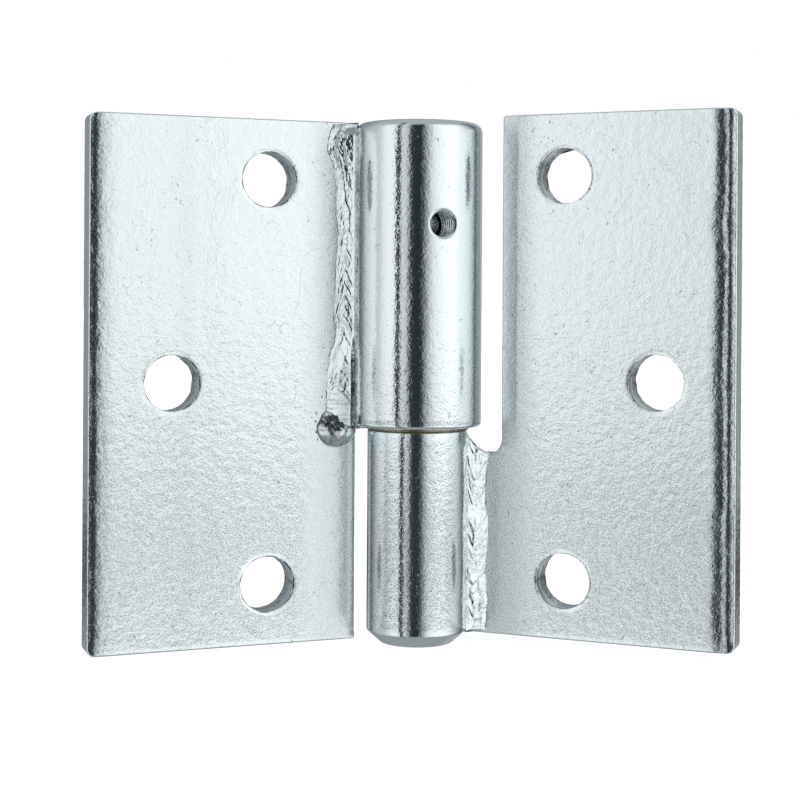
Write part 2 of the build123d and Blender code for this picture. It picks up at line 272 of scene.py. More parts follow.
def plate(name, side, corners, holes, x_out, x_in, z_in0, z_in1, roll_out, roll_in, seed):
    z_low, z_high = min(c[1] for c in corners), max(c[1] for c in corners)

    def sag(x, z):
        """How far the front face falls back behind its plane."""
        w = 1 + 0.20 * fbm(z * 0.10, 0.3, seed, 3) + 0.09 * fbm(z * 0.85, 4.4, seed + 1, 3)
        fade = 1 - 0.30 * smooth(1 - (z - z_low - 1.2) / 2.6)
        d = (x_out - x) / w
        t = np.clip(1 - d / roll_out[0], 0, 1)
        h = roll_out[2](d) * fade
        # torn, wrinkled skin of the rolled-over edge
        h = h + smooth(t * 2.0) * 0.022 * (1 + fbm(x * 1.5, z * 0.8, seed + 2, 3))
        w = 1 + 0.12 * fbm(z * 0.1, 3.1, seed + 3, 2)
        on = smooth((z - z_in0) / 1.5) * smooth((z_in1 - z) / 1.0 + 1)
        t = np.clip(1 - (x - x_in) / roll_in[0], 0, 1) * on
        h = h + roll_in[2]((x - x_in) / w) * on + smooth(t * 2) * 0.008 * (1 + fbm(x * 1.1, z * 0.8, seed + 4, 3))
        # a slight roll along the sheared top and bottom edges
        for zz, s in ((z_low, 1), (z_high, -1)):
            t = np.clip(1 - s * (z - zz) / 0.9, 0, 1)
            h = h + 0.10 * t ** 2
        for hx, hz, hr in holes:
            r = np.hypot(x - hx, z - hz)
            a = np.arctan2(z - hz, x - hx)
            w = 0.9 * (1 + 0.3 * noise2(a * 3, hx, seed + 5))
            t = np.clip(1 - (r - hr) / w, 0, 1)
            h = h + 0.16 * t ** 2
        h = h + 0.02 * (1 + fbm(x * 0.06, z * 0.06, seed + 6, 2)) + 0.004 * (1 + fbm(x * 0.33, z * 0.33, seed + 7, 2))
        return h

    def wear_and_shade(x, z):
        t = np.clip(1 - (x_out - x) / (roll_out[0] * 1.25), 0, 1)
        q = np.clip(1 - (x - x_in) / roll_in[0], 0, 1) * ((z > z_in0) & (z < z_in1 + 1))
        m = np.maximum(smooth(t * 2.2), 0.25 * smooth(q * 1.5))
        for hx, hz, hr in holes:
            r = np.hypot(x - hx, z - hz)
            m = np.maximum(m, 0.5 * np.clip(1 - (r - hr) / 0.9, 0, 1))
        return m

    b = Builder()
    step = 0.45
    out_p, out_n = rounded(corners, step)
    loops = [(out_p, out_n, None)]
    for hx, hz, hr in holes:
        k = 108
        a = -np.arange(k) * 2 * math.pi / k
        o = np.stack([np.cos(a), np.sin(a)], 1)
        # a punched hole: never quite round
        rr = hr + 0.02 * (1 + noise2(a * 1.5 + 40, hz, seed + 9))
        loops.append((np.array([hx, hz]) + o * rr[:, None], -o, (hx, hz, hr)))
    front_loops, front_first, back_loops, back_first = [], [], [], []
    for p, nrm, hole in loops:
        k = len(p)
        arc = np.arange(k) * (2 * math.pi / k if hole else step)
        e = 0.16 if hole else 0.30
        eb = 0.12 if hole else 0.25
        rings = []
        for q in range(4):                       # rounded front corner
            th = q / 3 * math.pi / 2
            flat = p - nrm * (e * (1 - math.sin(th)))
            y = SETBACK + sag((p - nrm * e)[:, 0], (p - nrm * e)[:, 1]) + e * (1 - math.cos(th))
            rings.append((flat, y, (1.12 if q in (1, 2) else 0.6) if hole else 0.35))
        y_top = rings[-1][1]
        y_low = BACK_Y - eb - 0.02
        rows = 9
        per = k / (2 * math.pi) if hole else 1.0
        for q in range(1, rows + 1):
            f = q / rows
            y = y_top + (y_low - y_top) * f
            s = np.arange(k) * (0.30 if hole else step)
            # burnished for the first third, torn below it
            tear = smooth((f - 0.30 - 0.10 * noise2(s * 0.35, 1.5, seed + 11)) * 6)
            depth = tear * (0.03 + 0.035 * (1 + fbm(s * 1.6, y.mean() * 0.5, seed + 12, 3)))
            if hole:
                depth = tear * (0.04 + 0.030 * (1 + fbm(s * 2.4, y.mean() * 0.8, seed + 13, 3)) + 0.07 * f)
            depth = depth * (1 - 0.0 * f)
            rings.append((p - nrm * depth[:, None], y, 0.45 + 0.66 * tear.mean() if hole else 0.25 + 0.5 * tear.mean()))
        last_flat = rings[-1][0]
        for q in range(1, 4):                    # rounded back corner
            th = q / 3 * math.pi / 2
            flat = last_flat - nrm * (eb * (1 - math.cos(th)))
            y = y_low + eb * math.sin(th) + np.zeros(k)
            rings.append((flat, y, 0.4))
        firsts = []
        for flat, y, r in rings:
            firsts.append(b.add(np.stack([flat[:, 0], y, flat[:, 1]], 1), r))
        for q in range(len(rings) - 1):
            b.strip(firsts[q], firsts[q + 1], k)
        front_loops.append(rings[0][0]); front_first.append(firsts[0])
        back_loops.append(rings[-1][0]); back_first.append(firsts[-1])

    # inner points of the front face: fine where it rolls over, coarser in the middle
    def columns(lo, hi):
        xs, x = [], hi
        while x > lo:
            d = hi - x
            g = x - lo
            xs.append(x)
            x -= 0.18 if d < roll_out[0] * 1.4 else (0.24 if g < roll_in[0] * 1.3 else 0.6)
        return xs

    def inner_points(dz, loops_here, xs, margin):
        zs = np.arange(z_low + 0.2, z_high, dz)
        g = []
        for i, x in enumerate(xs):
            g.append(np.stack([np.full(len(zs), x), zs + (dz / 2 if i % 2 else 0)], 1))
        g = np.vstack(g)
        keep = inside(loops_here[0], g)
        for hx, hz, hr in holes:
            keep &= np.hypot(g[:, 0] - hx, g[:, 1] - hz) > hr + 1.55
        # stay off the outline
        lp = loops_here[0]
        for i in range(0, len(g), 4000):
            part = g[i:i + 4000]
            d = np.full(len(part), 1e9)
            for c in range(0, len(lp), 200):
                dd = ((part[:, None, :] - lp[None, c:c + 200, :]) ** 2).sum(2).min(1)
                d = np.minimum(d, dd)
            keep[i:i + 4000] &= d > margin ** 2
        g = g[keep]
        rings = []
        for hx, hz, hr in holes:
            for extra, k in ((0.3, 108), (0.45, 108), (0.65, 100), (0.9, 90), (1.2, 80)):
                a = np.arange(k) * 2 * math.pi / k + extra
                rings.append(np.stack([hx + (hr + extra) * np.cos(a), hz + (hr + extra) * np.sin(a)], 1))
        return np.vstack([g] + rings)

    xs = columns(min(c[0] for c in corners) + 0.45, x_out - 0.45)
    # the notched leaf has its inner rolled edge further out
    if x_in > min(c[0] for c in corners) + 1:
        extra = list(np.arange(x_in + 0.45, x_in + roll_in[0] * 1.3, 0.24))
        xs = sorted([x for x in xs if not (x_in < x < x_in + roll_in[0] * 1.3)] + extra, reverse=True)
    gf = inner_points(0.42, front_loops, xs, 0.13)
    fill(b, front_loops, front_first, gf,
         lambda q: np.stack([q[:, 0], SETBACK + sag(q[:, 0], q[:, 1]), q[:, 1]], 1),
         lambda q: wear_and_shade(q[:, 0], q[:, 1]), front_loops[0], [(h[0], h[1], h[2] + 0.05) for h in holes])
    gb = inner_points(1.2, back_loops, list(np.arange(min(c[0] for c in corners) + 0.6, x_out - 0.5, 1.2)), 0.25)
    fill(b, back_loops, back_first, gb,
         lambda q: np.stack([q[:, 0], BACK_Y - 0.02 - 0.012 * (1 + fbm(q[:, 0] * 0.07, q[:, 1] * 0.07, seed + 20, 2)) , q[:, 1]], 1),
         lambda q: np.zeros(len(q)), back_loops[0], [(h[0], h[1], h[2] + 0.05) for h in holes])
    return b.piece(name, side)


fixed_corners = [(TOUCH_FIXED - 0.5, 0, 0.5), (FIXED_OUT, 0, CORNER_R), (FIXED_OUT, LEAF_H, CORNER_R),
                 (NOTCH_X, LEAF_H, 0.5), (NOTCH_X, NOTCH_Z, NOTCH_R), (TOUCH_FIXED - 0.5, NOTCH_Z, 0.5)]
fixed_plate = plate("fixed_plate", "fixed", fixed_corners,
                    [(27.4, 88.1, HOLE_R), (27.4, 11.1, HOLE_R), (45.3, 49.2, HOLE_R)],
                    FIXED_OUT, NOTCH_X, NOTCH_Z + 1, LEAF_H, (4.9, 1.4, FIXED_EDGE), (3.6, 0.9, INNER_EDGE), 100)
lz0, lz1 = -LIFT_DROP, LEAF_H - LIFT_DROP
lift_corners = [(TOUCH_LIFT - 0.3, lz0, 0.5), (LIFT_OUT, lz0, CORNER_R), (LIFT_OUT, lz1, CORNER_R), (TOUCH_LIFT - 0.3, lz1, 0.5)]
lift_plate = plate("lift_plate", "lift", lift_corners,
                   [(28.1, lz0 + 88.5, HOLE_R), (28.1, lz0 + 11.5, HOLE_R), (46.8, lz0 + 50, HOLE_R)],
                   LIFT_OUT, TOUCH_LIFT, lz0, lz1, (3.0, 0.7, LIFT_EDGE), (3.8, 0.9, LIFT_INNER), 200)


# ------------------------------------------------------------------ turned parts
def lathe_rings(b, profile, angles, first=None, rough=0.0, wobble=None):
    """Adds rings for (r, z) points; returns the first vertex of each ring."""
    out = []
    for r, z in profile:
        rr = r + (wobble(angles, z) if wobble else 0)
        out.append(b.add(np.stack([rr * np.cos(angles), rr * np.sin(angles), np.full(len(angles), z)], 1), rough(r, z) if callable(rough) else rough))
    return out


def arc_points(cx, cz, r, a0, a1, n):
    return [(cx + r * math.cos(math.radians(a0 + (a1 - a0) * i / n)),
             cz + r * math.sin(math.radians(a0 + (a1 - a0) * i / n))) for i in range(n + 1)]


def steps(r0, z0, r1, z1, n):
    return [(r0 + (r1 - r0) * i / n, z0 + (z1 - z0) * i / n) for i in range(1, n)]


def soften(profile, radius, n=4):
    """Rounds the inner corners of an (r, z) polyline by radius; the ends stay."""
    out = [profile[0]]
    for i in range(1, len(profile) - 1):
        p, a, c = np.array(profile[i]), np.array(profile[i - 1]), np.array(profile[i + 1])
        u, w = a - p, c - p
        lu, lw = np.linalg.norm(u), np.linalg.norm(w)
        t = min(radius, 0.45 * lu, 0.45 * lw)
        s, e = p + u / lu * t, p + w / lw * t
        for q in range(n + 1):
            f = q / n
            out.append(tuple((1 - f) ** 2 * s + 2 * f * (1 - f) * p + f * f * e))
    out.append(profile[-1])
    return out


def lathe(b, profile, seg, wobble=None, rough=0.0):
    """Closed turned solid from an (r, z) line that starts and ends on the axis."""
    ang = np.arange(seg) * 2 * math.pi / seg
    body = profile[1:-1]
    firsts = lathe_rings(b, body, ang, wobble=wobble, rough=rough)
    for q in range(len(firsts) - 1):
        b.strip(firsts[q], firsts[q + 1], seg)
    b.fan(firsts[0], seg, (0, 0, profile[0][1]))
    b.fan(firsts[-1], seg, (0, 0, profile[-1][1]))


# lower barrel with its pin
line = [(0, POST_Z0), (POST_R - POST_CH_R, POST_Z0), (POST_R, POST_Z0 + POST_CH_Z), (POST_R, SHOULDER_Z - 0.3),
        (POST_R - 0.3, SHOULDER_Z), (PIN_R + 0.05, SHOULDER_Z), (PIN_R, SHOULDER_Z + 0.4), (PIN_R, GREASE_Z - 3.8), (5.6, GREASE_Z - 3.0),
        (5.6, GREASE_Z + 3.0), (PIN_R, GREASE_Z + 3.8), (PIN_R, PIN_TOP - 1.5), (PIN_R - 1.5, PIN_TOP), (0, PIN_TOP)]
soft = soften(line, 0.35)
dense = [soft[0]]
for a, c in zip(soft[:-1], soft[1:]):
    n = max(1, int(math.hypot(c[0] - a[0], c[1] - a[1]) / 1.2))
    dense += steps(a[0], a[1], c[0], c[1], n) + [c]
b = Builder()
# the pin is dull with grease round its groove
lathe(b, dense, 200, wobble=lambda a, z: -0.003 * (1 + noise2(a * 3 / math.pi, z * 0.05, 51)),
      rough=lambda r, z: 0.74 if r < PIN_R + 0.02 and abs(z - GREASE_Z) < 4.5 else 0.0)
post_barrel = b.piece("post_barrel", "fixed", sharp=60)

# brass washer with softened edges, clear of both shoulders by a hair
line = [(WASHER_IN, SHOULDER_Z + 0.02), (WASHER_R, SHOULDER_Z + 0.02), (WASHER_R, SOCKET_Z0 - 0.02), (WASHER_IN, SOCKET_Z0 - 0.02)]
ring = []
for i in range(4):
    p, a, c = np.array(line[i]), np.array(line[i - 1]), np.array(line[(i + 1) % 4])
    u, w = (a - p) / np.linalg.norm(a - p), (c - p) / np.linalg.norm(c - p)
    rad = 0.20 if i in (1, 2) else 0.12
    for q in range(5):
        f = q / 4
        ring.append(tuple((1 - f) ** 2 * (p + u * rad) + 2 * f * (1 - f) * p + f * f * (p + w * rad)))
b = Builder()
ang = np.arange(160) * 2 * math.pi / 160
pts = np.stack([np.stack([r * np.cos(ang), r * np.sin(ang), np.full(160, z)], 1) for r, z in ring])
b.grid(pts, 0.0, closed_u=True, closed_v=True)
washer = b.piece("brass_washer", "fixed")


# upper barrel: closed socket with its tapped grease hole
def socket():
    b = Builder()
    seg = 240
    ang = -math.pi / 2 + np.arange(seg) * 2 * math.pi / seg      # column 0 faces the front
    patch_cols, patch_z = 22, 6.0
    z_lo, z_hi = SOCKET_Z0 + 0.8, SOCKET_Z1 - SOCKET_TOP_R

    def skin(r, wob):
        """Upright wall with a window left open round the grease hole; returns end rings."""
        zs = np.unique(np.round(np.concatenate([
            np.linspace(z_lo if r > 8 else SOCKET_Z0 + 0.7, GREASE_Z - patch_z, 34), np.linspace(GREASE_Z - patch_z, GREASE_Z + patch_z, 31),
            np.linspace(GREASE_Z + patch_z, z_hi if r > 8 else BORE_TOP, 12)]), 6))
        firsts = []
        turned = (22 - np.degrees(ang) + 180) % 360 - 180          # degrees from the toe of the front bead
        for z in zs:
            rr = r + (wob(ang, z) if wob else 0)
            # painted shade: the outer wall gets a dark band beside the toe of the front bead, standing in for the
            # shaded crevice between bead and barrel
            toe = (1.10 + 0.08 * noise2(z * 0.4, 2.7, 63)) * smooth((26 - turned) / 6) * smooth((turned + 14) / 5)
            firsts.append(b.add(np.stack([rr * np.cos(ang), rr * np.sin(ang), np.full(seg, z)], 1), toe if wob else 0.0))
        in_patch = lambda i: GREASE_Z - patch_z - 1e-6 <= zs[i] and zs[i + 1] <= GREASE_Z + patch_z + 1e-6
        for i in range(len(zs) - 1):
            for j in range(seg):
                k = (j + 1) % seg
                if in_patch(i) and (j < patch_cols or j >= seg - patch_cols):
                    continue
                b.f.append((firsts[i] + j, firsts[i] + k, firsts[i + 1] + k, firsts[i + 1] + j))
        # window border, as vertices of the wall
        rows = [i for i in range(len(zs)) if GREASE_Z - patch_z - 1e-6 <= zs[i] <= GREASE_Z + patch_z + 1e-6]
        cols = list(range(-patch_cols, patch_cols + 1))
        border, ids = [], []
        dth = 2 * math.pi / seg
        for c in cols:
            border.append((c * dth * r, zs[rows[0]])); ids.append(firsts[rows[0]] + c % seg)
        for i in rows[1:]:
            border.append((cols[-1] * dth * r, zs[i])); ids.append(firsts[i] + cols[-1] % seg)
        for c in cols[::-1][1:]:
            border.append((c * dth * r, zs[rows[-1]])); ids.append(firsts[rows[-1]] + c % seg)
        for i in rows[::-1][1:-1]:
            border.append((cols[0] * dth * r, zs[i])); ids.append(firsts[i] + cols[0] % seg)
        return firsts[0], firsts[-1], np.array(border), ids

    turn = lambda a, z: -0.003 * (1 + noise2(a * 3 / math.pi, z * 0.05, 61))
    out_low, out_high, out_border, out_ids = skin(SOCKET_R, turn)
    in_low, in_high, in_border, in_ids = skin(BORE_R, None)

    # thread: rows of a wall whose radius follows the 1 mm pitch
    k = 120
    phi = np.arange(k) * 2 * math.pi / k
    def surface_y(r_cyl, x):
        return -np.sqrt(np.maximum(r_cyl ** 2 - x ** 2, 0))
    depth0, depth1 = 0.0, 1.0
    rows = []
    mouth = [(2.98, 0.0), (2.86, 0.05), (2.72, 0.16)]
    for rad, d in mouth:
        x, z = rad * np.cos(phi), rad * np.sin(phi)
        rows.append(np.stack([x, surface_y(SOCKET_R, x) + d, GREASE_Z + z], 1))
    n = 96
    y_out = surface_y(SOCKET_R, 2.6 * np.cos(phi)) + 0.26
    y_in = surface_y(BORE_R, 2.6 * np.cos(phi))
    for i in range(n + 1):
        f = i / n
        y = y_out + (y_in - y_out) * f
        t = (y / 1.0 - phi / (2 * math.pi)) % 1.0
        tri = 1 - np.abs(2 * t - 1)
        prof = np.clip((tri - 0.12) / 0.72, 0, 1)
        depth = 0.50 * smooth(prof * 0.85 + 0.07)
        rad = 2.50 + depth * smooth(f * 14) * smooth((1 - f) * 30)
        x, z = rad * np.cos(phi), rad * np.sin(phi)
        if i == n:
            y = surface_y(BORE_R, x)
        rows.append(np.stack([x, y, GREASE_Z + z], 1))
    firsts = [b.add(r, 0.15) for r in rows]
    for q in range(len(firsts) - 1):
        b.strip(firsts[q], firsts[q + 1], k)

    def patch(border, ids, r_cyl, ring, ring_first, wob):
        u = r_cyl * np.arcsin(ring[:, 0] / r_cyl)
        hole = np.stack([u, ring[:, 2]], 1)
        ring_r = np.hypot(ring[0, 0], ring[0, 2] - GREASE_Z)
        pts, edges, idl = [tuple(p) for p in border], [(i, (i + 1) % len(border)) for i in range(len(border))], list(ids)
        n0 = len(pts)
        pts += [tuple(p) for p in hole]
        edges += [(n0 + i, n0 + (i + 1) % k) for i in range(k)]
        idl += [ring_first + i for i in range(k)]
        half = 22 * 2 * math.pi / seg * r_cyl
        inner = []
        for rho, m in ((ring_r + 0.10, 120), (ring_r + 0.25, 110), (ring_r + 0.5, 90), (ring_r + 0.85, 72)):
            if rho < half - 0.15:
                a = np.arange(m) * 2 * math.pi / m + rho
                inner.append(np.stack([rho * np.cos(a), GREASE_Z + rho * np.sin(a)], 1))
        gx, gz = np.meshgrid(np.linspace(-half, half, 40)[1:-1], np.linspace(GREASE_Z - patch_z, GREASE_Z + patch_z, 31)[1:-1])
        g = np.stack([gx.ravel(), gz.ravel()], 1)
        g = g[np.hypot(g[:, 0], g[:, 1] - GREASE_Z) > ring_r + 1.1]
        inner = np.vstack(inner + [g])
        th = inner[:, 0] / r_cyl - math.pi / 2
        rr = r_cyl + (wob(th, inner[:, 1]) if wob else 0)
        f0 = b.add(np.stack([rr * np.cos(th), rr * np.sin(th), inner[:, 1]], 1))
        pts += [tuple(p) for p in inner]
        idl += [f0 + i for i in range(len(inner))]
        out = delaunay_2d_cdt([Vector(p) for p in pts], edges, [], 0, 1e-7, True)
        back = [idl[o[0]] if len(o) else -1 for o in out[3]]
        co = np.array([tuple(v) for v in out[0]])
        for f in out[2]:
            c = co[list(f)].mean(0)
            if math.hypot(r_cyl * math.sin(c[0] / r_cyl), c[1] - GREASE_Z) > ring_r * 0.999:
                b.f.append(tuple(back[i] for i in f))

    patch(out_border, out_ids, SOCKET_R, rows[0], firsts[0], turn)
    patch(in_border, in_ids, BORE_R, rows[-1], firsts[-1], None)

    # rounded top edge and closed top
    top = arc_points(SOCKET_R - SOCKET_TOP_R, SOCKET_Z1 - SOCKET_TOP_R, SOCKET_TOP_R, 0, 90, 10)[1:]
    top += [(r, SOCKET_Z1) for r in (9.5, 8.4, 7, 5.4, 3.6, 1.8, 0.6)]
    fs = lathe_rings(b, top, ang)
    b.strip(out_high, fs[0], seg)
    for q in range(len(fs) - 1):
        b.strip(fs[q], fs[q + 1], seg)
    b.fan(fs[-1], seg, (0, 0, SOCKET_Z1))
    # lower rim, chamfer of the bore
    low = arc_points(SOCKET_R - 0.8, SOCKET_Z0 + 0.8, 0.8, 0, -90, 6)[1:] + [(9.5, SOCKET_Z0), (8.0, SOCKET_Z0), (6.9, SOCKET_Z0), (6.72, SOCKET_Z0 + 0.04)]
    fs = lathe_rings(b, low, ang)
    b.strip(out_low, fs[0], seg)
    for q in range(len(fs) - 1):
        b.strip(fs[q], fs[q + 1], seg)
    b.strip(fs[-1], in_low, seg)
    # end of the bore
    cone = [(BORE_R * f, BORE_TOP + 3.4 * (1 - f)) for f in (0.8, 0.5, 0.2, 0.05)]
    fs = lathe_rings(b, cone, ang)
    b.strip(in_high, fs[0], seg)
    for q in range(len(fs) - 1):
        b.strip(fs[q], fs[q + 1], seg)
    b.fan(fs[-1], seg, (0, 0, BORE_TOP + 3.4))
    return b.piece("socket_body", "lift", sharp=50)


socket_body = socket()


# ------------------------------------------------------------------ weld beads
def px_table(rows):
    """Piecewise-linear function of height from (height, value) pairs."""
    rows = sorted(rows)
    zs, vs = [r[0] for r in rows], [r[1] for r in rows]
    return lambda z: np.interp(z, zs, vs)


def ledge(ph, at, size, width):
    """The edge where one puddle froze over the one before it."""
    q = (ph - at) / width
    return size * (smooth(q * 0.5 + 0.5) - smooth(q * 0.11 + 0.5)) * np.exp(-(q / 9.5) ** 2)


def terraces(ph, pitch, seed):
    """Uneven rows of small puddle edges: a slow rise and a quick fall."""
    t = ph / pitch + 0.55 * noise2(ph * 0.6 / pitch, 0.7, seed)
    k = np.floor(t)
    fr = t - k
    size = 0.30 + 0.70 * (0.5 + 0.5 * _hash(k, k * 0, seed + 9))
    return size * np.power(fr, 1.5) * (1 - smooth((fr - 0.82) / 0.18))


def front_bead(r_barrel, x_touch, toe, leg, z0, top, hollow, relief, seed, end=0.9, end_top=0.9, cols=60, crown=0.13):
    """Bead laid in the corner between barrel and front face, u = 0 on the barrel to u = 1 on the
    leaf. toe(z) in degrees and leg(z) in mm set its width, top(u) its upper end, hollow how far
    the face is drawn in beside the barrel, crown how far it stands out beside the leaf, and
    relief(u, z) gives height and scorching of the surface."""
    b = Builder()
    u = np.linspace(0, 1, cols)
    tops = top(u)
    rows = int((tops.max() - z0) / 0.125)
    v = np.linspace(0, 1, rows)[:, None]
    zz = z0 + (tops[None, :] - z0) * v
    uu = np.broadcast_to(u, zz.shape)
    base = math.atan2(SETBACK, x_touch)
    s0 = np.clip((zz - z0) / end, 0, 1)
    s1 = np.clip((tops[None, :] - zz) / end_top, 0, 1)
    endf = np.sqrt(np.clip(1 - (1 - s0) ** 2, 0, 1)) * np.sqrt(np.clip(1 - (1 - s1) ** 2, 0, 1))
    ta = base - np.radians(toe(zz) + 1.1 * fbm(zz * 0.35, 5.5, seed + 1, 2))
    ax, ay = (r_barrel - 0.08) * np.cos(ta), (r_barrel - 0.08) * np.sin(ta)
    bx = x_touch + leg(zz) + 0.14 * fbm(zz * 1.3, 2.2, seed, 3)
    by = np.full_like(bx, SETBACK + 0.06)
    cx, cy = ax - np.tan(ta) * (by - ay), by
    vx, vy = cx - (ax + bx) / 2, cy - (ay + by) / 2
    w, dw = hollow * uu * (1 - uu) ** 6, hollow * ((1 - uu) ** 6 - 6 * uu * (1 - uu) ** 5)
    px, py = ax + (bx - ax) * uu + vx * w, ay + (by - ay) * uu + vy * w
    tx, ty = bx - ax + vx * dw, by - ay + vy * dw
    ln = np.hypot(tx, ty)
    nx, ny = ty / ln, -tx / ln
    h, scorch_and_shade = relief(uu, zz)
    h = h + crown * 15 * uu ** 5 * (1 - uu)
    edge = smooth(np.clip(np.minimum(uu * 9, (1 - uu) * 16), 0, 1))
    h = h * edge - (1 - endf) * 0.55 * np.clip(4 * uu * (1 - uu), 0, 1)
    px, py = px + nx * h, py + ny * h
    grid = np.stack([px, py, zz], 2)
    behind = 0.5 * (zz[:, 0] + zz[:, -1])
    back = np.stack([np.stack([np.full(rows, x_touch - 0.6), np.full(rows, SETBACK + 0.5), behind], 1)], 1)
    full = np.concatenate([grid, back], 1)
    first = b.grid(full, np.concatenate([np.clip(scorch_and_shade, 0, 2), np.zeros((rows, 1))], 1), closed_v=True)
    m = full.shape[1]
    b.fan(first, m, tuple(full[0].mean(0)))
    b.fan(first + (rows - 1) * m, m, tuple(full[-1].mean(0)))
    return b


def fixed_relief(u, z):
    # laid from the bottom up: the puddle edges hang down in the middle
    tilt = np.where(u < 0.38, 4.6 * np.clip((0.38 - u) / 0.38, 0, 1) ** 1.4, 3.4 * np.clip((u - 0.38) / 0.62, 0, 1) ** 1.4)
    ph = z - tilt + 1.5 * fbm(u * 1.9, z * 0.20, 301, 3)
    h, lines = np.zeros_like(z), np.zeros_like(z)
    for at, size, width in ((9.6, 0.42, 0.50), (20.3, 0.22, 0.45), (25.4, 0.16, 0.40), (30.4, 0.24, 0.45), (14.6, 0.12, 0.4), (3.2, 0.18, 0.40), (5.9, 0.12, 0.35), (33.6, 0.10, 0.4), (17.3, 0.12, 0.4)):
        h = h + 1.15 * ledge(ph, at, size, width)
        lines = lines + size / 0.42 * np.exp(-((ph - at + 0.05) / 0.13) ** 2)
    h = h + 0.045 * terraces(ph * 0.93 + 0.6 * noise2(u * 3, z * 0.5, 305), 1.45, 306)
    h = h + 0.018 * terraces(ph + 0.2, 0.47, 307) * (0.5 + 0.5 * noise2(u * 2.1, z * 0.22, 308))
    # long soft streaks drawn out along the bead
    h = h + 0.20 * fbm(u * 3.0 + 0.3 * ph / 9, ph * 0.20, 309, 3) + 0.022 * fbm(u * 11, z * 1.1, 310, 2)
    # slack middle, pulled in and out
    h = h + 0.10 * np.sin(z * 0.42 + 0.9) * 4 * u * (1 - u)
    ragged = fbm(z * 1.1, 7.7, 311, 3)
    h = h + 0.20 * ragged * np.exp(-((1 - u) / 0.09) ** 2)
    scorch_and_shade = 0.3 * np.abs(2 * u - 1) ** 3
    scorch_and_shade = scorch_and_shade + 1.05 * np.exp(-((1 - u) / 0.045) ** 2) * smooth(0.45 + 1.1 * fbm(z * 0.55, 3.1, 312, 2))
    scorch_and_shade = scorch_and_shade + 0.62 * np.clip(lines, 0, 1) * smooth(0.45 + 0.9 * fbm(u * 5, z * 0.9, 313, 2))
    scorch_and_shade = scorch_and_shade + 0.95 * np.exp(-(u / 0.05) ** 2)
    return h, scorch_and_shade


def fixed_top(u):
    """Hollow sweep from high on the barrel down to the floor of the notch."""
    return np.interp(u, [0.0, 0.06, 0.20, 0.36, 0.54, 0.72, 0.88, 1.0], [39.0, 38.6, 37.55, 36.5, 35.72, 35.22, 34.92, 34.78])


FIXED_LEG = px_table([(0.5, 5.0), (1.6, 4.75), (6.6, 5.15), (11.6, 4.6), (15.0, 4.8), (20.8, 5.2), (24.8, 4.6), (28.7, 4.5), (33.2, 4.9), (34.8, 5.3)])
b = front_bead(POST_R, TOUCH_FIXED, lambda z: 25 + 0.8 * np.sin(z * 0.31), FIXED_LEG, 0.55, fixed_top, 1.5, fixed_relief, 300, end=0.8, end_top=0.30)
fixed_bead = b.piece("fixed_front_bead", "fixed")


LIFT_LEG = px_table([(98.0, 4.9), (95.7, 5.75), (94.0, 6.05), (93.2, 6.03), (92.1, 5.54), (90.4, 4.72), (88.5, 4.30), (86.2, 3.95), (81.5, 4.22),
                     (76.7, 3.75), (72.0, 4.1), (67.2, 4.30), (65.7, 4.22), (61.0, 4.52), (59.0, 4.0), (56.2, 4.35), (53.8, 5.34), (50.3, 5.95), (44.4, 6.05), (40, 6.0)])


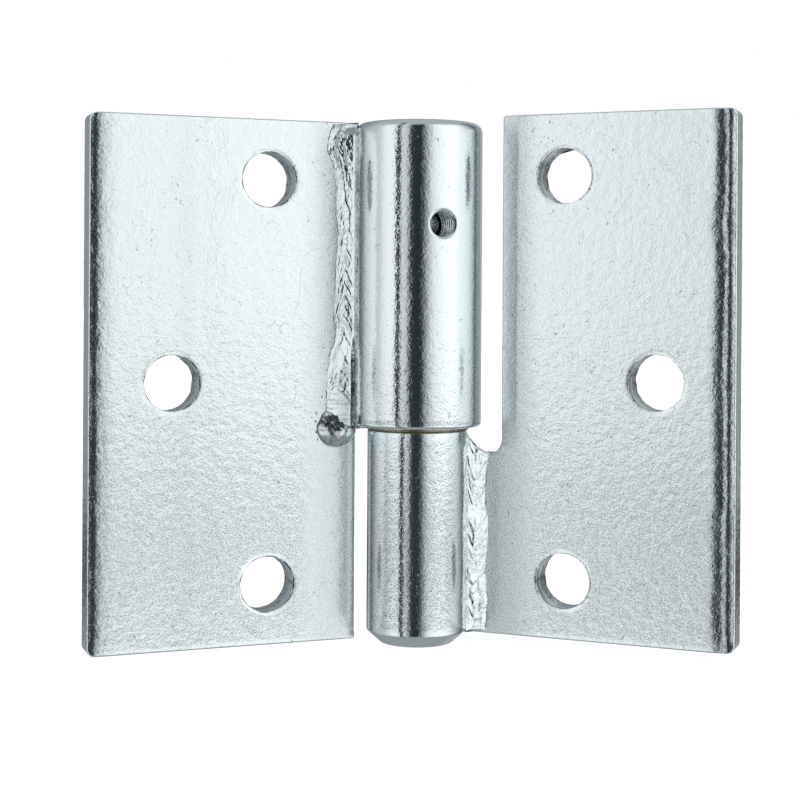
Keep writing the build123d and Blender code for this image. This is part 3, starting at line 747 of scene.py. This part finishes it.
def lift_relief(u, z):
    # laid from the top down: the puddle edges point up in the middle
    tilt = np.where(u > 0.57, 8.0 * np.clip((u - 0.57) / 0.43, 0, 1) ** 1.35, 5.0 * np.clip((0.57 - u) / 0.57, 0, 1) ** 1.25)
    ph = z + tilt + 0.45 * fbm(u * 3, z * 0.4, 401, 3)
    dome = 47.2 - 3.4 * np.clip((u - 0.62) / 0.38, 0, 1) ** 2 - 4.4 * np.clip((0.62 - u) / 0.62, 0, 1) ** 2
    calm = smooth((dome - z) / 0.35)
    fillet = smooth((u - 0.10) / 0.18)          # the barrel side is drawn out smooth
    h, lines = np.zeros_like(z), np.zeros_like(z)
    for at, size, width in ((92.5, 0.14, 0.4), (88.0, 0.16, 0.4), (83.2, 0.12, 0.35), (79.0, 0.14, 0.4), (74.6, 0.18, 0.4), (70.4, 0.20, 0.4), (67.8, 0.26, 0.40),
                            (65.4, 0.16, 0.35), (61.6, 0.14, 0.35), (57.9, 0.26, 0.45), (54.6, 0.18, 0.4), (51.2, 0.14, 0.4)):
        h = h + 0.52 * ledge(-ph, -at, size, width)
        lines = lines + size / 0.26 * np.exp(-((ph - at - 0.05) / 0.12) ** 2)
    here = smooth(0.5 + 0.9 * fbm(u * 2.3, z * 0.18, 418, 2))
    h = h + 0.028 * here * terraces(-ph * 0.97 + 0.7 * noise2(u * 3, z * 0.5, 405), 1.45, 406)
    h = h + 0.020 * here * terraces(-ph, 0.55, 407)
    # wandering folds drawn out along the bead
    for k, (where, wide, deep) in enumerate(((0.38, 0.035, 0.09), (0.60, 0.030, 0.08), (0.80, 0.028, 0.06))):
        way = where + 0.10 * noise2(z * 0.33, 2.2, 420 + k) + 0.05 * noise2(z * 1.05, 6.1, 424 + k) + 0.012 * noise2(z * 3.1, 1.7, 428 + k)
        cut = smooth(0.35 + 1.2 * noise2(z * 0.42, 8.8, 432 + k))
        h = h + deep * cut * (smooth((u - way) / wide * 0.5 + 0.5) - smooth((u - way) / (wide * 5) * 0.5 + 0.5))
        lines = lines + cut * np.exp(-((u - way) / 0.020) ** 2)
    rough = 0.55 + 0.75 * smooth((z - 84) / 6) + 0.25 * smooth((z - 64) / 6)
    h = h + rough * (0.060 * fbm(u * 7.5, z * 0.85, 408, 3) + 0.030 * fbm(u * 14, z * 2.1, 409, 2))
    h = h + 0.10 * fbm(u * 3.4, z * 0.20, 410, 2)
    h = h * fillet * (1 - calm)
    # an overlap that wanders down the middle near the top, and the lobe beside it
    path = 0.40 + 0.030 * noise2(z * 0.9, 1.1, 411) + 0.020 * noise2(z * 2.6, 5.1, 412)
    seam = np.exp(-((u - path) / 0.030) ** 2) * smooth((z - 88.6) / 0.6) * smooth((97.4 - z) / 0.6) * (0.55 + 0.45 * noise2(z * 1.6, 9.1, 413))
    h = h - 0.16 * seam
    lobe = np.exp(-(((z - 93.6) / 3.4) ** 2)) * smooth((u - 0.60) / 0.08)
    crest = 0.62 + 0.10 * smooth((95.5 - z) / 4)
    h = h + lobe * 0.26 - 0.20 * np.exp(-((u - crest) / 0.035) ** 2) * smooth((z - 89.0) / 1.0)
    h = h + lobe * 0.10 * fbm(u * 9, z * 1.9, 414, 3)
    # built up beside the barrel towards the end
    h = h + 1.15 * smooth((59.0 - z) / 7) * (1 - u) * smooth(u / 0.14)
    # the last puddle: a smooth dome with two faint rings above it
    h = h + 0.16 * calm + 0.07 * ledge(dome - z + 0.9, 0, 1.0, 0.18) + 0.05 * ledge(dome - z + 1.6, 0, 1.0, 0.16)
    h = h + 0.10 * calm * np.exp(-(((u - 0.35) / 0.35) ** 2 + ((z - 43.6) / 2.2) ** 2))
    ragged = fbm(z * 1.2, 7.7, 415, 3)
    h = h + 0.16 * ragged * np.exp(-((1 - u) / 0.08) ** 2)
    scorch_and_shade = 0.30 * np.abs(2 * u - 1) ** 3
    scorch_and_shade = scorch_and_shade + 1.65 * np.exp(-((1 - u) / 0.055) ** 2) * smooth(0.62 + 1.0 * fbm(z * 0.5, 3.1, 416, 2))
    scorch_and_shade = scorch_and_shade + 1.3 * seam + 0.7 * lobe * smooth(0.25 + fbm(u * 8, z * 1.6, 417, 2)) + 0.9 * np.exp(-((u - crest) / 0.03) ** 2) * smooth((z - 90.0) / 1.0)
    scorch_and_shade = scorch_and_shade + 1.12 * np.exp(-(u / 0.10) ** 2)
    scorch_and_shade = scorch_and_shade + 0.66 * np.clip(lines, 0, 1) * (1 - calm) * smooth(0.45 + 0.9 * fbm(u * 5, z * 0.9, 419, 2))
    return h, scorch_and_shade


b = front_bead(SOCKET_R, TOUCH_LIFT, lambda z: 15.5 + 11 * smooth((z - 95.8) / 2.0), LIFT_LEG, SOCKET_Z0 - 0.15,
               lambda u: np.full_like(u, SOCKET_Z1 - 0.08), 1.7, lift_relief, 400, end=0.8, end_top=0.25, cols=72)


def blob(b, seed):
    """Rounded end of the lift bead with its rough crater."""
    n, m = 110, 150
    th = np.linspace(0.02, math.pi - 0.02, n)
    ph = np.arange(m) * 2 * math.pi / m
    tt, pp = np.meshgrid(th, ph, indexing="ij")
    cx, cy, cz = TOUCH_LIFT + 3.75, SETBACK + 0.30, SOCKET_Z0 - 0.60
    dxx, dyy, dzz = np.sin(tt) * np.cos(pp), -np.cos(tt), np.sin(tt) * np.sin(pp)
    r = 3.95 + 0.10 * fbm(dxx * 1.5 + 3, dzz * 1.5, seed, 2) - 0.10 * (dzz < -0.9)
    # crater: torn and sunken above and to the outside, a smooth lobe below
    cr = smooth(1.55 - 1.25 * np.hypot((dxx - 0.22) / 0.66, (dzz - 0.34) / 0.50) + 0.25 * fbm(dxx * 3.1, dzz * 3.1, seed + 4, 2)) * (dyy < 0.3)
    r = r - cr * (0.42 + 0.62 * fbm(dxx * 4.2, dzz * 4.2, seed + 1, 3) + 0.20 * fbm(dxx * 11, dzz * 11, seed + 6, 2))
    r = r + 0.015 * fbm(dxx * 7, dzz * 7, seed + 2, 2)
    x, y, z = cx + r * dxx, cy + r * dyy * 0.80, cz + r * dzz
    y = np.minimum(y, SETBACK + 0.5)
    # clear of the washer and shoulder
    clear = 11.5
    rad = np.hypot(x, y)
    low = z < SOCKET_Z0 + 0.05
    push = np.where(low & (rad < clear), clear / np.maximum(rad, 1e-6), 1.0)
    pts = np.stack([x * push, y * push, z], 2)
    edge = np.exp(-((dyy + 0.05) / 0.10) ** 2)
    # the crater is marked darkest: partly its torn skin, partly painted shade in its hollow; the rim against the plate
    # and the lower-left side are marked darker too
    first = b.grid(pts, np.clip(cr * (1.9 + 0.8 * fbm(dxx * 6, dzz * 6, seed + 3, 2)) + 1.2 * edge + 1.04 * (1 - cr) * (1 - smooth(((dzz - dxx) * 0.7 + 0.15) / 0.5)), 0, 2), closed_v=True)
    b.fan(first, m, tuple(pts[0].mean(0)), 1.2)
    b.fan(first + (n - 1) * m, m, tuple(pts[-1].mean(0)), 0.3)


def spatter(b, x, z, r, y=SETBACK):
    """A bead of spatter stuck to the plate."""
    n, m = 9, 16
    th = np.linspace(0.05, math.pi - 0.05, n)
    ph = np.arange(m) * 2 * math.pi / m
    tt, pp = np.meshgrid(th, ph, indexing="ij")
    pts = np.stack([x + r * np.sin(tt) * np.cos(pp), y + 0.02 - r * 0.55 * np.cos(tt), z + r * np.sin(tt) * np.sin(pp)], 2)
    first = b.grid(pts, 1.05, closed_v=True)
    b.fan(first, m, tuple(pts[0].mean(0)), 1.3)
    b.fan(first + (n - 1) * m, m, tuple(pts[-1].mean(0)), 1.3)


blob(b, 450)
for sx, sz, sr in ((18.35, 42.5, 0.34), (18.55, 40.9, 0.26), (18.30, 38.9, 0.36), (18.1, 37.4, 0.22), (19.4, 41.6, 0.16), (17.3, 45.6, 0.18)):
    spatter(b, sx, sz, sr)
lift_bead = b.piece("lift_front_bead", "lift")


def back_bead(name, side, r_barrel, x_touch, x_foot, y_edge, z0, z1, seed, clear=None):
    b = Builder()
    rows, cols = int((z1 - z0) / 0.22), 24
    zv = np.linspace(z0, z1, rows)
    u = np.linspace(0, 1, cols)
    uu, zz = np.meshgrid(u, zv)
    s = np.clip(np.minimum(zz - z0, z1 - zz) / 1.0, 0, 1)
    endf = np.sqrt(np.clip(1 - (1 - s) ** 2, 0, 1))
    rb = r_barrel - 0.08
    xf = x_foot + 0.35 * fbm(zz * 0.5, 1.0, seed, 2)
    ax, ay = xf, np.sqrt(rb ** 2 - xf ** 2)
    bx = np.full_like(uu, x_touch + 0.12)
    by = y_edge + 0.15 * fbm(zz * 0.7, 4.0, seed + 1, 2)
    px, py = ax + (bx - ax) * uu, ay + (by - ay) * uu
    dx, dy = bx - ax, by - ay
    ln = np.hypot(dx, dy)
    ox, oy = -dy / ln, dx / ln
    w = 2 * uu - 1
    ph = zz + 1.6 * (1 - w ** 2) + 0.3 * fbm(uu * 3, zz * 0.5, seed + 2, 2)
    h = 0.02 + 0.07 * np.sin(ph * 2 * math.pi / 1.35) * (0.7 + 0.3 * fbm(uu * 2, zz * 0.3, seed + 3, 2)) + 0.04 * fbm(uu * 6, zz * 1.3, seed + 4, 3)
    edge = smooth(np.clip(1 - np.abs(w), 0, 1) * 5)
    h = h * edge - (1 - endf) * 0.7 * edge
    px, py = px + ox * h, py + oy * h
    if clear:
        rad = np.hypot(px, py)
        low = zz < SOCKET_Z0 + 0.02
        k = np.where(low & (rad < clear), clear / rad, 1.0)
        px, py = px * k, py * k
    py = np.minimum(py, BACK_Y - 0.03)
    grid = np.stack([px, py, zz], 2)
    back = np.stack([np.stack([np.full(rows, x_touch + 0.2), np.full(rows, SETBACK + 1.5), zv], 1),
                     np.stack([np.full(rows, x_foot + 1.2), np.full(rows, math.sqrt(max(rb ** 2 - (x_foot + 1.2) ** 2, 0)) - 0.9), zv], 1)], 1)
    if clear:
        for i in range(rows):
            if zv[i] < SOCKET_Z0 + 0.02:
                for j in range(2):
                    rad = math.hypot(back[i, j, 0], back[i, j, 1])
                    if rad < clear:
                        back[i, j, :2] *= clear / rad
    full = np.concatenate([grid, back], 1)
    worn_v = np.concatenate([np.abs(w) ** 3 * 0.6, np.zeros((rows, 2))], 1)
    first = b.grid(full, worn_v, closed_v=True)
    m = full.shape[1]
    b.fan(first, m, tuple(full[0].mean(0)))
    b.fan(first + (rows - 1) * m, m, tuple(full[-1].mean(0)))
    return b.piece(name, side)


fixed_back = back_bead("fixed_back_bead", "fixed", POST_R, TOUCH_FIXED, -1.2, 11.4, 0.65, 33.95, 500)
lift_back = back_bead("lift_back_bead", "lift", SOCKET_R, TOUCH_LIFT, 2.6, 12.0, SOCKET_Z0 - 1.15, SOCKET_Z1 - 0.55, 600, clear=11.8)

pieces = {
    fixed_plate: ("fixed_leaf", "post_side", "zinc_plate"),
    lift_plate: ("lift_leaf", "lift_side", "zinc_plate"),
    post_barrel: ("pin_barrel", "post_side", "zinc_turned"),
    washer: ("thrust_washer", "washer", "brass"),
    socket_body: ("socket_barrel", "lift_side", "zinc_turned"),
    fixed_bead: ("fixed_front_weld", "post_side", "zinc_weld"),
    lift_bead: ("lift_front_weld", "lift_side", "zinc_weld"),
    fixed_back: ("fixed_back_weld", "post_side", "zinc_weld"),
    lift_back: ("lift_back_weld", "lift_side", "zinc_weld"),
}
for obj, (node, body, slot) in pieces.items():
    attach(obj, body)
    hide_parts(node)


# ------------------------------------------------------------------ materials
class Nodes:
    def __init__(self, name):
        self.mat = bpy.data.materials.new(name)
        self.mat.use_nodes = True
        self.t = self.mat.node_tree
        self.t.nodes.clear()
        self.out = self.t.nodes.new("ShaderNodeOutputMaterial")
        self.bsdf = self.t.nodes.new("ShaderNodeBsdfPrincipled")
        self.t.links.new(self.bsdf.outputs[0], self.out.inputs[0])
        self.coord = self.t.nodes.new("ShaderNodeTexCoord").outputs["Object"]

    def link(self, a, b):
        self.t.links.new(a, b)

    def mapped(self, scale, rot=(0, 0, 0)):
        m = self.t.nodes.new("ShaderNodeMapping")
        m.inputs["Scale"].default_value = scale
        m.inputs["Rotation"].default_value = rot
        self.link(self.coord, m.inputs["Vector"])
        return m.outputs[0]

    def noise(self, scale, detail=2.0, rough=0.5, vec=None, distortion=0.0):
        n = self.t.nodes.new("ShaderNodeTexNoise")
        n.inputs["Scale"].default_value = scale
        n.inputs["Detail"].default_value = detail
        n.inputs["Roughness"].default_value = rough
        n.inputs["Distortion"].default_value = distortion
        self.link(vec if vec is not None else self.coord, n.inputs["Vector"])
        return n.outputs[0]

    def voronoi(self, scale, vec=None, out="Distance"):
        n = self.t.nodes.new("ShaderNodeTexVoronoi")
        n.inputs["Scale"].default_value = scale
        self.link(vec if vec is not None else self.coord, n.inputs["Vector"])
        return n.outputs[out]

    def math(self, op, a, b=None, c=None, clamp=False):
        n = self.t.nodes.new("ShaderNodeMath")
        n.operation = op
        n.use_clamp = clamp
        for i, x in enumerate((a, b, c)):
            if x is None:
                continue
            if isinstance(x, (int, float)):
                n.inputs[i].default_value = x
            else:
                self.link(x, n.inputs[i])
        return n.outputs[0]

    def ramp(self, value, lo, hi, a=0.0, b=1.0):
        n = self.t.nodes.new("ShaderNodeMapRange")
        n.inputs["From Min"].default_value = lo
        n.inputs["From Max"].default_value = hi
        n.inputs["To Min"].default_value = a
        n.inputs["To Max"].default_value = b
        self.link(value, n.inputs["Value"])
        return n.outputs[0]

    def mix(self, fac, a, b):
        n = self.t.nodes.new("ShaderNodeMix")
        n.data_type = "RGBA"
        for i, x in ((0, fac), (6, a), (7, b)):
            if isinstance(x, (int, float)):
                n.inputs[i].default_value = x
            elif isinstance(x, tuple):
                n.inputs[i].default_value = (*x, 1.0)
            else:
                self.link(x, n.inputs[i])
        return n.outputs[2]

    def attribute(self, name):
        n = self.t.nodes.new("ShaderNodeAttribute")
        n.attribute_name = name
        return n.outputs["Fac"]

    def bump(self, height, distance, normal=None, strength=1.0):
        n = self.t.nodes.new("ShaderNodeBump")
        n.inputs["Distance"].default_value = distance
        if isinstance(strength, (int, float)):
            n.inputs["Strength"].default_value = strength
        else:
            self.link(strength, n.inputs["Strength"])
        self.link(height, n.inputs["Height"])
        if normal is not None:
            self.link(normal, n.inputs["Normal"])
        return n.outputs[0]


def zinc(name, light, dark, tint, rough, grain, grain_mm, worn_gain, speck, scratch, wave=0.0, dull=0.0, heat=0.0):
    """Bright zinc plating. grain is the bump height in mm of an orange peel of grain_mm size,
    wave that of a slower one. The wear-and-shade value roughens a surface, and above 1 it darkens the colour: scorch on
    the welds, and painted shade in the crevice beside the lift bead's toe and, in part, in the blob's crater."""
    n = Nodes(name)
    marks = n.attribute("wear_and_shade")
    wear_and_shade = n.math("MINIMUM", marks, 1.0)
    n.bsdf.inputs["Metallic"].default_value = 1.0
    big = n.noise(70, 2, 0.5)
    mid = n.noise(420, 3, 0.6)
    peel = n.noise(1000 / grain_mm, 1.5, 0.55, distortion=0.35)
    tiny = n.noise(2300 / grain_mm, 1, 0.5)
    col = n.mix(n.ramp(tiny, 0.42, 0.68), light, dark)
    col = n.mix(n.ramp(mid, 0.56, 0.80, 0, 0.35), col, dark)
    col = n.mix(n.ramp(big, 0.54, 0.74, 0, 0.40), col, tint)
    # sparse dark nicks, irregular and small
    few = n.ramp(n.noise(210, 1), 0.54, 0.66)
    nick = n.ramp(n.noise(1500, 1.5, 0.6, distortion=1.2), 0.665, 0.72)
    nick = n.math("MULTIPLY", n.math("MULTIPLY", nick, few), speck)
    col = n.mix(n.math("MULTIPLY", nick, 0.75), col, (0.14, 0.16, 0.17))
    # hairline scratches: level lines of slow noise, only here and there
    lines = None
    for sc, seed_at, width in ((95, 0.0, 0.0018), (150, 3.3, 0.0024), (60, 7.1, 0.0011)):
        v = n.t.nodes.new("ShaderNodeVectorMath")
        v.operation = "ADD"
        v.inputs[1].default_value = (seed_at, seed_at * 0.7, -seed_at)
        n.link(n.coord, v.inputs[0])
        field = n.noise(sc, 0.6, 0.3, vec=v.outputs[0])
        off = n.math("ABSOLUTE", n.math("SUBTRACT", field, 0.5))
        l = n.ramp(off, width, width * 0.35)
        where = n.ramp(n.noise(sc * 2.6, 1, 0.5, vec=v.outputs[0], distortion=1.0), 0.62, 0.68)
        l = n.math("MULTIPLY", l, where)
        lines = l if lines is None else n.math("MAXIMUM", lines, l)
    lines = n.math("MULTIPLY", lines, scratch)
    col = n.mix(n.math("MULTIPLY", lines, 0.45), col, (0.26, 0.28, 0.28))
    # darkened colour: scorched, badly plated weld edges, plus painted shade in the crevice beside the lift bead's toe
    # and, in part, in the blob's crater
    torn = n.math("MULTIPLY_ADD", n.noise(1500, 2, 0.6), 1.6, n.math("SUBTRACT", marks, 1.45))
    scorch_and_shade = n.ramp(torn, 0.25, 0.75)
    scorch_and_shade = n.math("MULTIPLY", scorch_and_shade, n.ramp(marks, 0.75, 1.15))
    col = n.mix(n.math("MULTIPLY", scorch_and_shade, 0.94), col, (0.055, 0.062, 0.064))
    n.link(col, n.bsdf.inputs["Base Color"])
    r = n.math("MULTIPLY_ADD", mid, 0.06, rough - 0.03)
    r = n.math("MULTIPLY_ADD", nick, 0.25, r)
    r = n.math("MULTIPLY_ADD", wear_and_shade, dull, r)
    if heat:                                     # dulled beside the barrel by the heat of the welds
        v = n.t.nodes.new("ShaderNodeVectorMath")
        v.operation = "MULTIPLY_ADD"
        v.inputs[1].default_value = (1, 1, 0)
        v.inputs[2].default_value = (ORIGIN[0] * 0.001, ORIGIN[1] * 0.001, 0)
        n.link(n.coord, v.inputs[0])
        d = n.t.nodes.new("ShaderNodeVectorMath")
        d.operation = "LENGTH"
        n.link(v.outputs[0], d.inputs[0])
        r = n.math("MULTIPLY_ADD", n.ramp(d.outputs["Value"], 0.0235, 0.0185), heat, r)
    r = n.math("MULTIPLY_ADD", scorch_and_shade, 0.20, r)
    n.link(r, n.bsdf.inputs["Roughness"])
    gain = n.math("MULTIPLY_ADD", wear_and_shade, worn_gain, 1.0)
    h = n.math("MULTIPLY", n.math("MULTIPLY_ADD", tiny, 0.22, peel), gain)
    if wave:
        h = n.math("MULTIPLY_ADD", n.noise(1000 / (grain_mm * 3.4), 1, 0.5), wave / grain, h)
    h = n.math("SUBTRACT", h, n.math("MULTIPLY", nick, 0.7))
    h = n.math("SUBTRACT", h, n.math("MULTIPLY", lines, 0.22))
    normal = n.bump(h, grain * 0.001)
    n.link(normal, n.bsdf.inputs["Normal"])
    return n.mat


plate_mat = zinc("zinc_plate_finish", (0.885, 0.95, 0.962), (0.79, 0.855, 0.87), (0.855, 0.89, 0.865), 0.12, 0.036, 0.46, 0.35, 1.0, 1.0, 0.055, 0.02, 0.20)
turned_mat = zinc("zinc_turned_finish", (0.88, 0.94, 0.95), (0.82, 0.88, 0.895), (0.84, 0.89, 0.88), 0.09, 0.028, 0.42, 0.6, 0.8, 0.6, 0.035, 0.18)
weld_mat = zinc("zinc_weld_finish", (0.88, 0.945, 0.955), (0.76, 0.82, 0.835), (0.84, 0.87, 0.84), 0.12, 0.022, 0.40, 0.8, 0.8, 0.0, 0.04)


def brass():
    n = Nodes("brass_finish")
    n.bsdf.inputs["Metallic"].default_value = 1.0
    mid = n.noise(500, 3, 0.6)
    # a dark olive brass: darker than bare brass, partly painted shade for the washer sitting in the shaded gap between
    # the barrels
    col = n.mix(n.ramp(mid, 0.35, 0.7), (0.42, 0.37, 0.20), (0.20, 0.18, 0.12))
    n.link(col, n.bsdf.inputs["Base Color"])
    n.link(n.ramp(mid, 0.3, 0.7, 0.28, 0.42), n.bsdf.inputs["Roughness"])
    ring = n.noise(1.0, 2, 0.5, vec=n.mapped((300, 300, 9000)))
    n.link(n.bump(ring, 0.00004), n.bsdf.inputs["Normal"])
    return n.mat


brass_mat = brass()
finish_of = {"zinc_plate": plate_mat, "zinc_turned": turned_mat, "zinc_weld": weld_mat, "brass": brass_mat}
for obj, (node, body, slot) in pieces.items():
    obj.data.materials.append(finish_of[slot])

# ------------------------------------------------------------------ camera
AIM = math.radians(23.245)
ROLL = 0.00609
right = np.array([math.cos(AIM), math.sin(AIM), 0.0])
ahead = np.array([-math.sin(AIM), math.cos(AIM), 0.0])
up = np.array([0.0, 0.0, 1.0])
r2 = right * math.cos(ROLL) + up * math.sin(ROLL)
u2 = up * math.cos(ROLL) - right * math.sin(ROLL)
cam_data = bpy.data.cameras.new("camera")
cam_data.sensor_width = 36.0
cam_data.lens = 76.5
cam_data.shift_x, cam_data.shift_y = -0.0008, -0.1354
cam_data.clip_start, cam_data.clip_end = 0.01, 20.0
cam = bpy.data.objects.new("camera", cam_data)
m = Matrix.Identity(4)
for i in range(3):
    m[i][0], m[i][1], m[i][2] = r2[i], u2[i], -ahead[i]
m[0][3], m[1][3], m[2][3] = 0.09888, -0.31477, 0.01632
cam.matrix_world = m
bpy.context.scene.collection.objects.link(cam)
bpy.context.scene.camera = cam

# ------------------------------------------------------------------ floor
floor_z = -0.05105
ring_n = 64
bm = bmesh.new()
centre = bm.verts.new((0, 0, floor_z))
prev = None
for rad in (0.15, 0.4, 1.2, 6.0):
    ring_v = [bm.verts.new((rad * math.cos(2 * math.pi * i / ring_n), rad * math.sin(2 * math.pi * i / ring_n), floor_z)) for i in range(ring_n)]
    for i in range(ring_n):
        j = (i + 1) % ring_n
        if prev is None:
            bm.faces.new((centre, ring_v[i], ring_v[j]))
        else:
            bm.faces.new((prev[i], ring_v[i], ring_v[j], prev[j]))
    prev = ring_v
mesh = bpy.data.meshes.new("floor")
bm.to_mesh(mesh)
bm.free()
floor = bpy.data.objects.new("floor", mesh)
bpy.context.scene.collection.objects.link(floor)
fm = Nodes("floor_paint")
fm.bsdf.inputs["Base Color"].default_value = (0.9, 0.9, 0.9, 1)
fm.bsdf.inputs["Roughness"].default_value = 0.9
fm.bsdf.inputs["Emission Color"].default_value = (1, 1, 1, 1)
fm.bsdf.inputs["Emission Strength"].default_value = 0.75
mesh.materials.append(fm.mat)
floor.visible_glossy = False

# ------------------------------------------------------------------ dark flag
# A narrow dark panel standing close to the object, which draws a dark line down the barrels.
axis = place([(0.0, 0.0, ORIGIN[2])], "fixed")[0]
flag_az, flag_w = math.radians(36.0), 0.0060
flag_at = axis - ahead * 0.0355 - right * 0.0221
across = -ahead * math.cos(flag_az) + right * math.sin(flag_az)
fv = [tuple(flag_at + across * (flag_w / 2) * a + up * z) for a, z in ((-1, -0.10), (1, -0.10), (1, 0.12), (-1, 0.12))]
mesh = bpy.data.meshes.new("flag")
mesh.from_pydata(fv, [], [(0, 1, 2, 3)])
flag = bpy.data.objects.new("flag", mesh)
bpy.context.scene.collection.objects.link(flag)
fm = Nodes("flag_cloth")
fm.bsdf.inputs["Base Color"].default_value = (0.06, 0.065, 0.07, 1)
fm.bsdf.inputs["Roughness"].default_value = 1.0
fm.bsdf.inputs["Specular IOR Level"].default_value = 0.0
mesh.materials.append(fm.mat)
flag.visible_camera = False
flag.visible_diffuse = False
flag.visible_shadow = False

# ------------------------------------------------------------------ studio light
# A ring of large soft boxes and dark gaps round the object, as directions in the world.
world = bpy.data.worlds.new("studio")
bpy.context.scene.world = world
world.use_nodes = True
wt = world.node_tree
wt.nodes.clear()
wout = wt.nodes.new("ShaderNodeOutputWorld")
bg = wt.nodes.new("ShaderNodeBackground")
tc = wt.nodes.new("ShaderNodeTexCoord")


def wmath(op, a, b=None):
    n = wt.nodes.new("ShaderNodeMath")
    n.operation = op
    for i, x in enumerate((a, b)):
        if x is None:
            continue
        if isinstance(x, (int, float)):
            n.inputs[i].default_value = x
        else:
            wt.links.new(x, n.inputs[i])
    return n.outputs[0]


def wdot(vec):
    n = wt.nodes.new("ShaderNodeVectorMath")
    n.operation = "DOT_PRODUCT"
    n.inputs[1].default_value = vec
    wt.links.new(tc.outputs["Generated"], n.inputs[0])
    return n.outputs["Value"]


def wrange(value, lo, hi):
    n = wt.nodes.new("ShaderNodeMapRange")
    n.interpolation_type = "SMOOTHSTEP"
    n.inputs["From Min"].default_value = lo
    n.inputs["From Max"].default_value = hi
    wt.links.new(value, n.inputs["Value"])
    return n.outputs[0]


def wmix(f, a, b):
    n = wt.nodes.new("ShaderNodeMix")
    n.data_type = "RGBA"
    wt.links.new(f, n.inputs[0])
    for i, x in ((6, a), (7, b)):
        if isinstance(x, tuple):
            n.inputs[i].default_value = (*x, 1)
        else:
            wt.links.new(x, n.inputs[i])
    return n.outputs[2]


side_c = wdot(tuple(right))
front_c = wdot(tuple(-ahead))
az = wmath("ARCTAN2", side_c, front_c)
fac = wmath("ADD", wmath("DIVIDE", az, 2 * math.pi), 0.5)
ring_ramp = wt.nodes.new("ShaderNodeValToRGB")
wt.links.new(fac, ring_ramp.inputs[0])
STOPS = [  # degrees from the front towards the right, colour
    (-180, (0.26, 0.28, 0.30)), (-136, (0.26, 0.29, 0.31)), (-120, (0.29, 0.33, 0.36)), (-107, (0.43, 0.47, 0.49)),
    (-84, (0.52, 0.55, 0.565)), (-75, (0.62, 0.645, 0.665)), (-66, (0.84, 0.86, 0.87)), (-56, (0.95, 0.96, 0.97)), (-40, (0.93, 0.945, 0.95)), (-34, (0.68, 0.70, 0.71)),
    (-27, (0.71, 0.73, 0.74)), (-20, (0.52, 0.54, 0.55)), (-15.0, (0.030, 0.036, 0.040)), (5.5, (0.018, 0.023, 0.026)), (10, (0.17, 0.19, 0.20)), (15, (0.38, 0.40, 0.41)), (20, (0.60, 0.62, 0.63)), (26, (0.82, 0.84, 0.845)),
    (32, (0.94, 0.955, 0.96)), (48, (1.10, 1.11, 1.11)), (66, (1.16, 1.16, 1.16)), (80, (0.98, 1.0, 1.01)), (90, (0.77, 0.80, 0.82)), (102, (0.50, 0.54, 0.57)), (114, (0.24, 0.27, 0.29)), (127, (0.10, 0.12, 0.13)), (134, (0.12, 0.14, 0.15)),
    (142, (0.26, 0.28, 0.29)), (160, (0.48, 0.50, 0.51)), (172, (0.28, 0.30, 0.32))]
cr = ring_ramp.color_ramp
cr.interpolation = "LINEAR"
while len(cr.elements) > 1:
    cr.elements.remove(cr.elements[-1])
cr.elements[0].position = 0.0
cr.elements[0].color = (*STOPS[0][1], 1)
for deg, c in STOPS[1:]:
    e = cr.elements.new((deg + 180) / 360)
    e.color = (*c, 1)
# above and below: an even soft grey
sep = wt.nodes.new("ShaderNodeSeparateXYZ")
wt.links.new(tc.outputs["Generated"], sep.inputs[0])


# the light boxes end a little above the table, and the table's far edge shows below the gap
gap = wmath("MULTIPLY", wrange(sep.outputs[2], -0.112, -0.152), wrange(sep.outputs[2], -0.190, -0.168))
dim = wmath("MULTIPLY", gap, 0.95)
upf = wrange(sep.outputs[2], 0.55, 0.85)
dnf = wrange(sep.outputs[2], -0.45, -0.80)
colour = wmix(dim, ring_ramp.outputs[0], (0.05, 0.06, 0.065))
colour = wmix(upf, colour, (0.42, 0.45, 0.46))
colour = wmix(dnf, colour, (0.30, 0.33, 0.34))
# what the camera sees straight past the object is plain white paper
lp = wt.nodes.new("ShaderNodeLightPath")
colour = wmix(lp.outputs["Is Camera Ray"], colour, (1.0, 1.0, 1.0))
wt.links.new(colour, bg.inputs[0])
bg.inputs[1].default_value = 1.0
wt.links.new(bg.outputs[0], wout.inputs[0])

sc = bpy.context.scene
sc.view_settings.view_transform = "Standard"
sc.view_settings.look = "None"
sc.view_settings.exposure = 0.0
sc.view_settings.gamma = 1.0
sc.cycles.use_denoising = False
